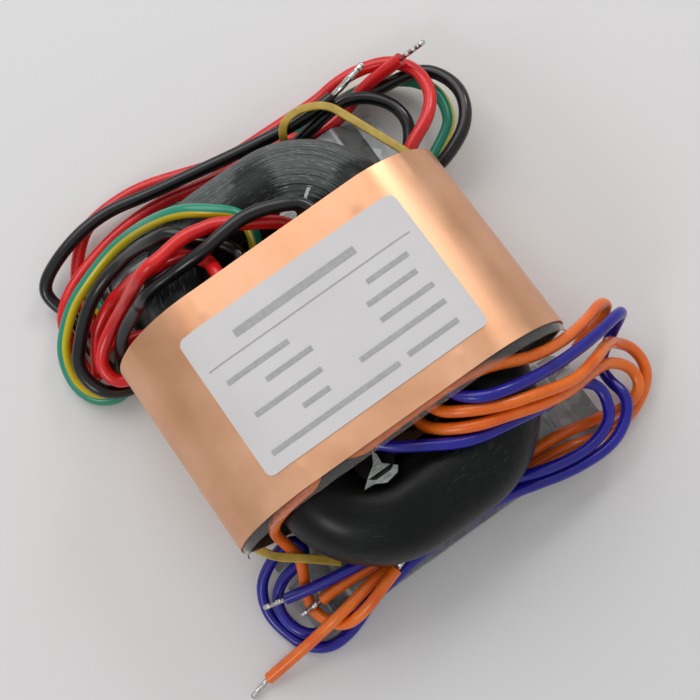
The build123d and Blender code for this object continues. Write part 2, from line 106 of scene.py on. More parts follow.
# The leads' routes, from the slot in the bobbin's flange to the bare end
leadRoutes = {
    "orange_1": [
        (0.0059, -0.0176, 0.0276), (0.0062, -0.0208, 0.0288), (0.0100, -0.0240, 0.0310),
        (0.0155, -0.0268, 0.0310), (0.0215, -0.0283, 0.0286), (0.0285, -0.0295, 0.0235),
        (0.0345, -0.0280, 0.0200), (0.0385, -0.0263, 0.0145), (0.0405, -0.0264, 0.0095),
        (0.0430, -0.0285, 0.0065), (0.0433, -0.0325, 0.0050), (0.0410, -0.0355, 0.0040),
        (0.0360, -0.0380, 0.0032), (0.0300, -0.0382, 0.0032), (0.0245, -0.0368, 0.0076),
        (0.0185, -0.0356, 0.0070), (0.0090, -0.0354, 0.0070), (-0.0020, -0.0356, 0.0070),
        (-0.0128, -0.0355, 0.0070), (-0.0172, -0.0354, 0.0092), (-0.0225, -0.0365, 0.0094),
        (-0.0280, -0.0373, 0.0090), (-0.0345, -0.0378, 0.0049), (-0.0440, -0.0383, 0.0013),
    ],
    "orange_2": [
        (0.0034, -0.0176, 0.0236), (0.0033, -0.0206, 0.0248), (0.0050, -0.0236, 0.0280),
        (0.0105, -0.0270, 0.0297), (0.0160, -0.0285, 0.0290), (0.0213, -0.0299, 0.0266),
        (0.0270, -0.0302, 0.0219), (0.0330, -0.0290, 0.0155), (0.0375, -0.0287, 0.0105),
        (0.0405, -0.0315, 0.0076), (0.0400, -0.0352, 0.0064), (0.0360, -0.0365, 0.0054),
        (0.0315, -0.0353, 0.0046), (0.0275, -0.0346, 0.0056), (0.0234, -0.0338, 0.0076),
        (0.0180, -0.0334, 0.0070), (0.0090, -0.0332, 0.0070), (-0.0020, -0.0334, 0.0070),
        (-0.0110, -0.0332, 0.0070), (-0.0170, -0.0335, 0.0074), (-0.0225, -0.0329, 0.0075),
        (-0.0280, -0.0330, 0.0071),
    ],
    "orange_3": [
        (-0.0146, -0.0176, 0.0322), (-0.0160, -0.0195, 0.0319), (-0.0200, -0.0194, 0.0300),
        (-0.0250, -0.0194, 0.0250), (-0.0276, -0.0196, 0.0165), (-0.0273, -0.0217, 0.0110),
        (-0.0266, -0.0250, 0.0090), (-0.0286, -0.0283, 0.0061), (-0.0302, -0.0315, 0.0050),
        (-0.0302, -0.0350, 0.0049), (-0.0274, -0.0391, 0.0068), (-0.0226, -0.0392, 0.0098),
        (-0.0176, -0.0377, 0.0113), (-0.0140, -0.0366, 0.0110),
    ],
    "orange_4": [
        (-0.0098, -0.0176, 0.0307), (-0.0083, -0.0195, 0.0312), (-0.0020, -0.0194, 0.0324),
        (0.0060, -0.0194, 0.0332), (0.0120, -0.0195, 0.0332), (0.0180, -0.0204, 0.0316),
        (0.0245, -0.0229, 0.0282), (0.0310, -0.0230, 0.0236), (0.0375, -0.0216, 0.0178),
        (0.0423, -0.0196, 0.0130), (0.0432, -0.0208, 0.0106), (0.0406, -0.0212, 0.0080),
        (0.0374, -0.0218, 0.0062), (0.0354, -0.0225, 0.0040),
    ],
    "blue_1": [
        (0.0098, -0.0176, 0.0307), (0.0098, -0.0204, 0.0308), (0.0133, -0.0240, 0.0326),
        (0.0175, -0.0253, 0.0319), (0.0235, -0.0259, 0.0284), (0.0300, -0.0257, 0.0240),
        (0.0370, -0.0248, 0.0195), (0.0433, -0.0233, 0.0150), (0.0443, -0.0232, 0.0115),
        (0.0410, -0.0247, 0.0070), (0.0365, -0.0275, 0.0062), (0.0358, -0.0310, 0.0078),
        (0.0366, -0.0350, 0.0086), (0.0345, -0.0382, 0.0080), (0.0295, -0.0407, 0.0077),
        (0.0215, -0.0404, 0.0087), (0.0146, -0.0387, 0.0095), (0.0080, -0.0368, 0.0091),
        (-0.0020, -0.0365, 0.0092), (-0.0100, -0.0367, 0.0091), (-0.0145, -0.0374, 0.0089),
        (-0.0180, -0.0378, 0.0088), (-0.0215, -0.0378, 0.0072), (-0.0246, -0.0374, 0.0073),
        (-0.0282, -0.0365, 0.0034), (-0.0315, -0.0375, 0.0025), (-0.0345, -0.0355, 0.0032),
        (-0.0358, -0.0310, 0.0032), (-0.0345, -0.0275, 0.0040), (-0.0315, -0.0257, 0.0052),
        (-0.0285, -0.0254, 0.0057), (-0.0256, -0.0246, 0.0060), (-0.0256, -0.0215, 0.0060),
        (-0.0285, -0.0210, 0.0056), (-0.0318, -0.0220, 0.0048), (-0.0350, -0.0236, 0.0036),
        (-0.0368, -0.0260, 0.0026), (-0.0377, -0.0292, 0.0018), (-0.0372, -0.0328, 0.0011),
        (-0.0356, -0.0374, 0.0011), (-0.0318, -0.0404, 0.0011), (-0.0268, -0.0400, 0.0011),
        (-0.0223, -0.0382, 0.0011), (-0.0170, -0.0355, 0.0011),
    ],
    "blue_2": [
        (-0.0059, -0.0176, 0.0276), (-0.0035, -0.0210, 0.0282), (0.0020, -0.0246, 0.0284),
        (0.0083, -0.0283, 0.0279), (0.0163, -0.0295, 0.0271), (0.0223, -0.0300, 0.0226),
        (0.0275, -0.0290, 0.0165), (0.0311, -0.0290, 0.0126), (0.0333, -0.0310, 0.0108),
        (0.0331, -0.0340, 0.0100), (0.0313, -0.0372, 0.0094), (0.0265, -0.0388, 0.0094),
        (0.0212, -0.0385, 0.0105), (0.0157, -0.0372, 0.0109), (0.0110, -0.0353, 0.0097),
        (0.0060, -0.0344, 0.0089), (-0.0010, -0.0342, 0.0089), (-0.0080, -0.0344, 0.0090),
        (-0.0130, -0.0329, 0.0093), (-0.0196, -0.0319, 0.0097), (-0.0259, -0.0310, 0.0088),
        (-0.0330, -0.0292, 0.0072),
    ],
    "black_1": [
        (-0.0059, 0.0176, 0.0276), (-0.0046, 0.0204, 0.0278), (-0.0054, 0.0234, 0.0277),
        (-0.0084, 0.0274, 0.0280), (-0.0105, 0.0290, 0.0278), (-0.0125, 0.0315, 0.0276),
        (-0.0150, 0.0325, 0.0261), (-0.0180, 0.0345, 0.0222), (-0.0225, 0.0370, 0.0154),
        (-0.0285, 0.0370, 0.0120), (-0.0340, 0.0345, 0.0100), (-0.0375, 0.0315, 0.0088),
        (-0.0405, 0.0285, 0.0078), (-0.0410, 0.0250, 0.0068), (-0.0396, 0.0214, 0.0058),
        (-0.0360, 0.0196, 0.0040), (-0.0320, 0.0197, 0.0028), (-0.0296, 0.0224, 0.0024),
        (-0.0292, 0.0275, 0.0024), (-0.0293, 0.0334, 0.0024), (-0.0294, 0.0380, 0.0026),
        (-0.0282, 0.0412, 0.0019), (-0.0225, 0.0424, 0.0014), (-0.0140, 0.0423, 0.0014),
        (-0.0050, 0.0414, 0.0014), (0.0030, 0.0410, 0.0014), (0.0100, 0.0406, 0.0022),
        (0.0150, 0.0400, 0.0048), (0.0195, 0.0399, 0.0070), (0.0235, 0.0405, 0.0076),
        (0.0280, 0.0409, 0.0076), (0.0322, 0.0392, 0.0072), (0.0354, 0.0352, 0.0070),
        (0.0360, 0.0306, 0.0070), (0.0340, 0.0272, 0.0065), (0.0308, 0.0242, 0.0060),
        (0.0308, 0.0208, 0.0064), (0.0345, 0.0194, 0.0075), (0.0390, 0.0202, 0.0090),
        (0.0435, 0.0224, 0.0098), (0.0463, 0.0266, 0.0095), (0.0469, 0.0315, 0.0080),
        (0.0448, 0.0366, 0.0068), (0.0405, 0.0388, 0.0058), (0.0342, 0.0398, 0.0047),
    ],
    "black_2": [
        (0.0098, 0.0176, 0.0307), (0.0094, 0.0202, 0.0310), (0.0065, 0.0222, 0.0318),
        (0.0005, 0.0243, 0.0323), (-0.0045, 0.0240, 0.0326), (-0.0090, 0.0235, 0.0320),
        (-0.0135, 0.0240, 0.0306), (-0.0165, 0.0245, 0.0290), (-0.0200, 0.0250, 0.0274),
        (-0.0225, 0.0250, 0.0255), (-0.0250, 0.0263, 0.0198), (-0.0308, 0.0262, 0.0124),
        (-0.0330, 0.0246, 0.0082), (-0.0346, 0.0238, 0.0050), (-0.0366, 0.0250, 0.0022),
        (-0.0375, 0.0290, 0.0013), (-0.0376, 0.0340, 0.0013), (-0.0372, 0.0395, 0.0013),
        (-0.0388, 0.0430, 0.0026), (-0.0384, 0.0460, 0.0044), (-0.0335, 0.0482, 0.0060),
        (-0.0264, 0.0499, 0.0068), (-0.0194, 0.0499, 0.0072), (-0.0124, 0.0479, 0.0076),
        (-0.0030, 0.0459, 0.0082), (0.0070, 0.0439, 0.0084), (0.0161, 0.0420, 0.0094),
        (0.0220, 0.0412, 0.0104), (0.0265, 0.0413, 0.0110),
    ],
    "red_1": [
        (0.0059, 0.0176, 0.0276), (0.0053, 0.0202, 0.0281), (0.0022, 0.0224, 0.0290),
        (-0.0016, 0.0246, 0.0298), (-0.0050, 0.0270, 0.0302), (-0.0075, 0.0275, 0.0304),
        (-0.0100, 0.0280, 0.0308), (-0.0130, 0.0280, 0.0306), (-0.0160, 0.0274, 0.0307),
        (-0.0190, 0.0275, 0.0303), (-0.0215, 0.0276, 0.0277), (-0.0240, 0.0285, 0.0226),
        (-0.0265, 0.0290, 0.0176), (-0.0300, 0.0290, 0.0134), (-0.0350, 0.0272, 0.0102),
        (-0.0372, 0.0244, 0.0088), (-0.0364, 0.0209, 0.0074), (-0.0325, 0.0200, 0.0069),
        (-0.0280, 0.0204, 0.0071), (-0.0250, 0.0226, 0.0074), (-0.0265, 0.0254, 0.0072),
        (-0.0302, 0.0268, 0.0062), (-0.0333, 0.0281, 0.0052), (-0.0349, 0.0306, 0.0028),
        (-0.0350, 0.0344, 0.0013), (-0.0346, 0.0386, 0.0013), (-0.0338, 0.0425, 0.0013),
        (-0.0317, 0.0456, 0.0022), (-0.0290, 0.0484, 0.0032), (-0.0252, 0.0512, 0.0040),
        (-0.0190, 0.0518, 0.0044), (-0.0125, 0.0513, 0.0044), (-0.0055, 0.0493, 0.0036),
        (0.0030, 0.0470, 0.0015), (0.0120, 0.0468, 0.0013), (0.0200, 0.0463, 0.0019),
        (0.0250, 0.0458, 0.0026), (0.0296, 0.0460, 0.0040), (0.0348, 0.0449, 0.0056),
        (0.0398, 0.0423, 0.0072), (0.0426, 0.0374, 0.0092), (0.0421, 0.0314, 0.0110),
        (0.0386, 0.0270, 0.0124), (0.0338, 0.0248, 0.0126), (0.0292, 0.0226, 0.0110),
        (0.0276, 0.0206, 0.0080),
    ],
    "red_2": [
        (-0.0098, 0.0176, 0.0307), (-0.0096, 0.0200, 0.0303), (-0.0096, 0.0230, 0.0280),
        (-0.0120, 0.0260, 0.0277), (-0.0145, 0.0275, 0.0278), (-0.0170, 0.0280, 0.0268),
        (-0.0195, 0.0285, 0.0264), (-0.0220, 0.0305, 0.0214), (-0.0255, 0.0325, 0.0144),
        (-0.0285, 0.0340, 0.0098), (-0.0342, 0.0320, 0.0068), (-0.0368, 0.0289, 0.0053),
        (-0.0388, 0.0255, 0.0044), (-0.0406, 0.0259, 0.0026), (-0.0409, 0.0288, 0.0013),
        (-0.0403, 0.0330, 0.0015), (-0.0396, 0.0374, 0.0034), (-0.0370, 0.0404, 0.0046),
        (-0.0329, 0.0429, 0.0047), (-0.0274, 0.0448, 0.0044), (-0.0216, 0.0460, 0.0048),
        (-0.0152, 0.0464, 0.0048), (-0.0098, 0.0460, 0.0050), (-0.0030, 0.0442, 0.0050),
        (0.0032, 0.0431, 0.0048), (0.0095, 0.0432, 0.0042), (0.0150, 0.0427, 0.0036),
        (0.0190, 0.0408, 0.0028), (0.0240, 0.0398, 0.0026), (0.0285, 0.0409, 0.0026),
        (0.0320, 0.0416, 0.0040), (0.0360, 0.0410, 0.0074), (0.0410, 0.0395, 0.0116),
    ],
    "green_yellow": [
        (-0.0034, 0.0176, 0.0236), (-0.0020, 0.0204, 0.0246), (-0.0004, 0.0234, 0.0264),
        (-0.0008, 0.0270, 0.0279), (-0.0045, 0.0300, 0.0286), (-0.0082, 0.0333, 0.0277),
        (-0.0130, 0.0364, 0.0238), (-0.0190, 0.0405, 0.0148), (-0.0245, 0.0410, 0.0116),
        (-0.0305, 0.0400, 0.0090), (-0.0352, 0.0387, 0.0072), (-0.0388, 0.0362, 0.0060),
        (-0.0416, 0.0336, 0.0048), (-0.0432, 0.0304, 0.0034), (-0.0438, 0.0266, 0.0019),
        (-0.0422, 0.0226, 0.0013), (-0.0380, 0.0202, 0.0013), (-0.0344, 0.0220, 0.0016),
        (-0.0324, 0.0252, 0.0025), (-0.0318, 0.0300, 0.0024), (-0.0320, 0.0360, 0.0027),
        (-0.0319, 0.0413, 0.0021), (-0.0283, 0.0447, 0.0013), (-0.0210, 0.0456, 0.0013),
        (-0.0130, 0.0454, 0.0013), (-0.0040, 0.0442, 0.0013), (0.0050, 0.0436, 0.0013),
        (0.0140, 0.0441, 0.0013), (0.0220, 0.0434, 0.0013), (0.0295, 0.0435, 0.0013),
        (0.0365, 0.0422, 0.0020), (0.0420, 0.0382, 0.0032), (0.0442, 0.0328, 0.0046),
        (0.0433, 0.0276, 0.0056), (0.0409, 0.0246, 0.0052), (0.0346, 0.0220, 0.0039),
    ],
}
rubberRoutes = {
    "front": [
        (-0.0336, -0.0164, 0.0064), (-0.0322, -0.0192, 0.0068), (-0.0302, -0.0224, 0.0097),
        (-0.0272, -0.0249, 0.0125), (-0.0240, -0.0274, 0.0112), (-0.0212, -0.0298, 0.0094),
    ],
    "back": [
        (0.0146, 0.0394, 0.0082), (0.0144, 0.0402, 0.0110), (0.0164, 0.0422, 0.0127),
        (0.0200, 0.0424, 0.0130), (0.0246, 0.0400, 0.0132), (0.0262, 0.0356, 0.0138),
        (0.0288, 0.0285, 0.0142), (0.0312, 0.0220, 0.0144),
    ],
}
leadSetup = {
    "secondarySleeve": 0.0021,
    "primarySleeve": 0.0025,
    "sides": 8,
    "lengths": {
        "orange_1": 0.151, "orange_2": 0.126, "orange_3": 0.064, "orange_4": 0.073,
        "blue_1": 0.207, "blue_2": 0.123, "black_1": 0.215, "black_2": 0.153,
        "red_1": 0.212, "red_2": 0.154, "green_yellow": 0.201,
    },
    "rubberWidth": 0.0016,
    "rubberThickness": 0.0005,
}
tipSetup = {
    "diameter": 0.001,
    "length": 0.0045,
    "strands": 7,
    "twist": 130,
    "steps": 18,
    "lobe": 0.11,  # how deep the grooves between strands are, as a share of the radius
    "taper": 0.7,
    # stripped further than the rest, or bent: length, diameter, and the way it points
    "own": {
        "black_2": (0.0085, 0.0013, (0.975, 0.18, 0.12)),
        "red_2": (0.0062, 0.001, None),
        "orange_1": (0.0045, 0.001, (-0.97, -0.22, -0.08)),
    },
}


def routeCurve(name, points, radius):
    curve = bpy.data.curves.new(name, "CURVE")
    curve.dimensions = "3D"
    curve.resolution_u = 10
    spline = curve.splines.new("NURBS")
    spline.points.add(len(points) - 1)
    for point, place in zip(spline.points, points):
        point.co = (*place, 1)
        point.radius = radius
    spline.order_u = 3
    spline.use_endpoint_u = True
    curve.bevel_depth = 1.0  # the points' own radius gives the size, which keeps the box true
    curve.bevel_resolution = leadSetup["sides"] // 2
    curve.use_fill_caps = True
    piece = bpy.data.objects.new(name, curve)
    scene.collection.objects.link(piece)
    return piece


def meshPiece(name, bm, smooth=True):
    mesh = bpy.data.meshes.new(name)
    bm.to_mesh(mesh)
    bm.free()
    for face in mesh.polygons:
        face.use_smooth = smooth
    piece = bpy.data.objects.new(name, mesh)
    scene.collection.objects.link(piece)
    return piece


def twistedTip(name, start, along, length, diameter):
    # tinned strands twisted together: a lobed outline drawn out and turned
    bm = bmesh.new()
    radius = diameter / 2
    ring = bmesh.ops.create_circle(
        bm, cap_ends=True, segments=4 * tipSetup["strands"], radius=radius,
    )
    for vert in ring["verts"]:
        turn = math.atan2(vert.co.y, vert.co.x)
        vert.co *= 1 - tipSetup["lobe"] * abs(math.sin(turn * tipSetup["strands"] / 2 + 0.1))
    face = bm.faces[:]
    step = length / tipSetup["steps"]
    for count in range(tipSetup["steps"]):
        made = bmesh.ops.extrude_face_region(bm, geom=face)
        face = [item for item in made["geom"] if isinstance(item, bmesh.types.BMFace)]
        verts = list({vert for item in face for vert in item.verts})
        bmesh.ops.translate(bm, vec=(0, 0, step), verts=verts)
        turn = Matrix.Rotation(math.radians(tipSetup["twist"] / tipSetup["steps"]), 3, "Z")
        bmesh.ops.rotate(bm, cent=(0, 0, 0), matrix=turn, verts=verts)
        if count == tipSetup["steps"] - 1:
            bmesh.ops.scale(bm, vec=(tipSetup["taper"], tipSetup["taper"], 1), verts=verts)
    bmesh.ops.recalc_face_normals(bm, faces=bm.faces)
    place = Matrix.Translation(start) @ along.to_track_quat("Z", "Y").to_matrix().to_4x4()
    bmesh.ops.transform(bm, matrix=place, verts=bm.verts)
    return meshPiece(name, bm)


leads = {}
tips = {}
for key, points in leadRoutes.items():
    colour = key.split("_")[0]
    side = "primarySleeve" if colour in ("black", "red", "green") else "secondarySleeve"
    sleeve = leadSetup[side]
    lead = routeCurve("sleeve_" + key, points, sleeve / 2)
    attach(lead, "root")
    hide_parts("lead_" + key)
    along = (Vector(points[-1]) - Vector(points[-2])).normalized()
    length, diameter, turned = tipSetup["own"].get(
        key, (tipSetup["length"], tipSetup["diameter"], None),
    )
    if turned:
        along = Vector(turned).normalized()
    tip = twistedTip("strands_" + key, Vector(points[-1]), along, length, diameter)
    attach(tip, "root")
    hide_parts("tip_" + key)
    leads[key] = lead
    tips[key] = tip
rubbers = {}
for key, points in rubberRoutes.items():
    rubberHalf = leadSetup["rubberThickness"] / 2
    rubber = routeCurve("rubberBand_" + key, points, rubberHalf)
    rubber.data.extrude = (leadSetup["rubberWidth"] / 2 - rubberHalf) / rubberHalf
    rubber.data.twist_mode = "Z_UP"
    for point in rubber.data.splines[0].points:
        point.tilt = math.pi / 2
    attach(rubber, "root")
    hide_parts("rubber_band_" + key)
    rubbers[key] = rubber
print("leads laid:", len(leads), "and rubber bands:", len(rubbers))

# Flux band and label: flat sheets rolled round both coils
bandLow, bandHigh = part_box("flux_band")
labelLow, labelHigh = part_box("label")
coreLow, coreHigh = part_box("r_core")
wrapSetup = {
    "legX": 0.0166,
    "bandRadius": 0.01706,
    "foil": 0.0003,
    "dent": 0.00012,
    "creases": [(-0.0158, 0.0001), (0.0149, 0.0001), (-0.0305, 0.00008), (0.0275, 0.00008)],
    "labelWidth": 0.0434,
    "labelDepth": 0.0274,
    "labelCorner": 0.0014,
    "paper": 0.00015,
    "glue": 0.00002,
    "creaseWidth": 0.0005,
    "creaseLean": 0.02,  # how far a crease runs aside for each metre along the legs
    "creaseFade": 0.001,
    "foilSteps": (260, 60),
}
coreZ = (coreLow.z + coreHigh.z) / 2


def rollPoint(around, radius):
    # a point that far round the stadium from the top middle, on the band's radius
    side = 1 if around >= 0 else -1
    way = abs(around)
    flat = wrapSetup["legX"]
    half = math.pi * wrapSetup["bandRadius"]
    if way <= flat:
        return side * way, radius
    if way <= flat + half:
        turn = (way - flat) / wrapSetup["bandRadius"]
        return side * (flat + radius * math.sin(turn)), radius * math.cos(turn)
    return side * (2 * flat + half - way), -radius


def foilDent(around, y):
    # the foil lies in flats with a soft crease where each flat ends
    ridge = noise.noise((around * 190, y * 14, 3.1))
    small = noise.noise((around * 420, y * 60, 8.4))
    height = wrapSetup["dent"] * ((ridge - 0.35) * 0.7 + 0.2 * (small - 0.5))
    # the creases stop at the label, which holds the foil flat
    clear = abs(y - (labelLow.y + labelHigh.y) / 2) - wrapSetup["labelDepth"] / 2
    fade = min(max(clear / wrapSetup["creaseFade"] - 0.3, 0), 1)
    for crease, tall in wrapSetup["creases"]:
        away = abs(around - crease - wrapSetup["creaseLean"] * y)
        height += fade * tall * math.exp(-(away / wrapSetup["creaseWidth"]) ** 2)
    return height


def rolledSheet(name, width, depth, centreY, lift, steps, thickness, corner=0.0):
    bm = bmesh.new()
    bmesh.ops.create_grid(bm, x_segments=steps[0], y_segments=steps[1], size=0.5)
    uv = bm.loops.layers.uv.new("UVMap")
    for face in bm.faces:
        for loop in face.loops:
            loop[uv].uv = (loop.vert.co.x + 0.5, loop.vert.co.y + 0.5)
    for vert in bm.verts:
        across = vert.co.x * width
        along = vert.co.y * depth
        if corner:
            # the grid's corners are drawn in to round them
            nearX = abs(across) - (width / 2 - corner)
            nearY = abs(along) - (depth / 2 - corner)
            if nearX > 0 and nearY > 0:
                reach = max(nearX, nearY) / max(math.hypot(nearX, nearY), 1e-9)
                across = math.copysign(width / 2 - corner + nearX * reach, across)
                along = math.copysign(depth / 2 - corner + nearY * reach, along)
        y = centreY + along
        x, z = rollPoint(across, wrapSetup["bandRadius"] + lift + foilDent(across, y))
        vert.co = (x, y, coreZ + z)
    bmesh.ops.remove_doubles(bm, verts=bm.verts, dist=1e-6)
    bmesh.ops.recalc_face_normals(bm, faces=bm.faces)
    piece = meshPiece(name, bm)
    solid = piece.modifiers.new("thickness", "SOLIDIFY")
    solid.thickness = thickness
    solid.offset = -1
    piece.modifiers.new("cutEdges", "EDGE_SPLIT")
    return piece


roundBoth = 4 * wrapSetup["legX"] + 2 * math.pi * wrapSetup["bandRadius"]
bandMiddle = (bandLow.y + bandHigh.y) / 2
foil = rolledSheet(
    "copperFluxBand", roundBoth, bandHigh.y - bandLow.y, bandMiddle, 0.0,
    wrapSetup["foilSteps"], wrapSetup["foil"],
)
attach(foil, "root")
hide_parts("flux_band")
labelMiddle = (labelLow.y + labelHigh.y) / 2
paper = rolledSheet(
    "label_sheet", wrapSetup["labelWidth"], wrapSetup["labelDepth"], labelMiddle,
    wrapSetup["paper"] + wrapSetup["glue"], (120, 76), wrapSetup["paper"], wrapSetup["labelCorner"],
)
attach(paper, "root")
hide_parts("label")

# Printed on the label: a thin rule and plain grey bars, with nothing to read
printSetup = {
    "ink": 0.00006,
    "grid": (40, 3),
    "rule": (0.0, 0.0063, 0.0400, 0.00022),
    "bars": [
        (-0.0010, 0.0092, 0.0240, 0.0014),
        (-0.0125, 0.0030, 0.0120, 0.0009), (0.0135, 0.0034, 0.0082, 0.0009),
        (-0.0085, -0.0002, 0.0090, 0.0009), (0.0122, 0.0002, 0.0098, 0.0009),
        (-0.0112, -0.0040, 0.0130, 0.0009), (0.0128, -0.0032, 0.0104, 0.0009),
        (-0.0080, -0.0073, 0.0052, 0.0009), (0.0095, -0.0066, 0.0168, 0.0009),
        (-0.0065, -0.0107, 0.0250, 0.0009), (0.0128, -0.0104, 0.0098, 0.0009),
    ],
}
inks = []
for count, (x, y, width, depth) in enumerate([printSetup["rule"]] + printSetup["bars"]):
    bm = bmesh.new()
    columns, rows = printSetup["grid"]
    bmesh.ops.create_grid(bm, x_segments=columns, y_segments=rows, size=0.5)
    for vert in bm.verts:
        across = x + vert.co.x * width
        along = labelMiddle + y + vert.co.y * depth
        lift = wrapSetup["paper"] + wrapSetup["glue"] + printSetup["ink"]
        px, pz = rollPoint(across, wrapSetup["bandRadius"] + lift + foilDent(across, along))
        vert.co = (px, along, coreZ + pz)
    ink = meshPiece("ink_rule" if count == 0 else f"ink_bar_{count:02d}", bm)
    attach(ink, "root")
    inks.append(ink)
print("foil, label and print rolled on")

# Where the varnish ran off the tongues: a scraped fin on the near one, and a sliver and a rounded
# end on the far one
scrapSetup = {
    "near_tongue_scrape": (0.0006, 0.0268, [
        (-0.0058, -0.0200), (-0.0054, -0.0209), (-0.0056, -0.0225), (-0.0036, -0.0243),
        (-0.0043, -0.0252), (-0.0067, -0.0256), (-0.0085, -0.0246), (-0.0104, -0.0244),
        (-0.0086, -0.0230), (-0.0069, -0.0219),
    ]),
    "far_tongue_end": (0.0010, 0.0262, [
        (0.0034, 0.0206), (0.0046, 0.0196), (0.0064, 0.0200), (0.0074, 0.0212),
        (0.0070, 0.0226), (0.0054, 0.0230), (0.0038, 0.0222),
    ]),
    "far_tongue_edge": (0.0005, 0.0282, [
        (0.0089, 0.0215), (0.0094, 0.0213), (0.0118, 0.0230), (0.0113, 0.0234),
    ]),
}
scraps = []
for name, (thick, height, outline) in scrapSetup.items():
    bm = bmesh.new()
    face = bm.faces.new([bm.verts.new((x, y, height)) for x, y in outline])
    made = bmesh.ops.extrude_face_region(bm, geom=[face])
    top = [item for item in made["geom"] if isinstance(item, bmesh.types.BMVert)]
    bmesh.ops.translate(bm, vec=(0, 0, thick), verts=top)
    bmesh.ops.recalc_face_normals(bm, faces=bm.faces)
    scrap = meshPiece(name, bm, smooth=False)
    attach(scrap, "root")
    scraps.append(scrap)
print("tongues finished")


# Materials
def newMaterial(name, sockets):
    material = bpy.data.materials.new(name)
    material.use_nodes = True
    tree = material.node_tree
    tree.nodes.clear()
    shader = addNode(tree, "ShaderNodeBsdfPrincipled", sockets)
    addNode(tree, "ShaderNodeOutputMaterial", {"Surface": shader.outputs[0]})
    return material, tree, shader


def rampOf(tree, factor, stops):
    ramp = addNode(tree, "ShaderNodeValToRGB", {"Fac": factor})
    ramp.color_ramp.elements[0].position = stops[0][0]
    ramp.color_ramp.elements[0].color = hexColour(stops[0][1])
    ramp.color_ramp.elements[1].position = stops[-1][0]
    ramp.color_ramp.elements[1].color = hexColour(stops[-1][1])
    for position, code in stops[1:-1]:
        ramp.color_ramp.elements.new(position).color = hexColour(code)
    return ramp


def rangeOf(tree, value, low, high, start=0.0, end=1.0):
    return addNode(tree, "ShaderNodeMapRange", {
        "Value": value, "From Min": start, "From Max": end, "To Min": low, "To Max": high,
    })


def objectPlace(tree, scale=(1, 1, 1)):
    coords = addNode(tree, "ShaderNodeTexCoord")
    return addNode(tree, "ShaderNodeMapping", {"Vector": coords.outputs["Object"], "Scale": scale})


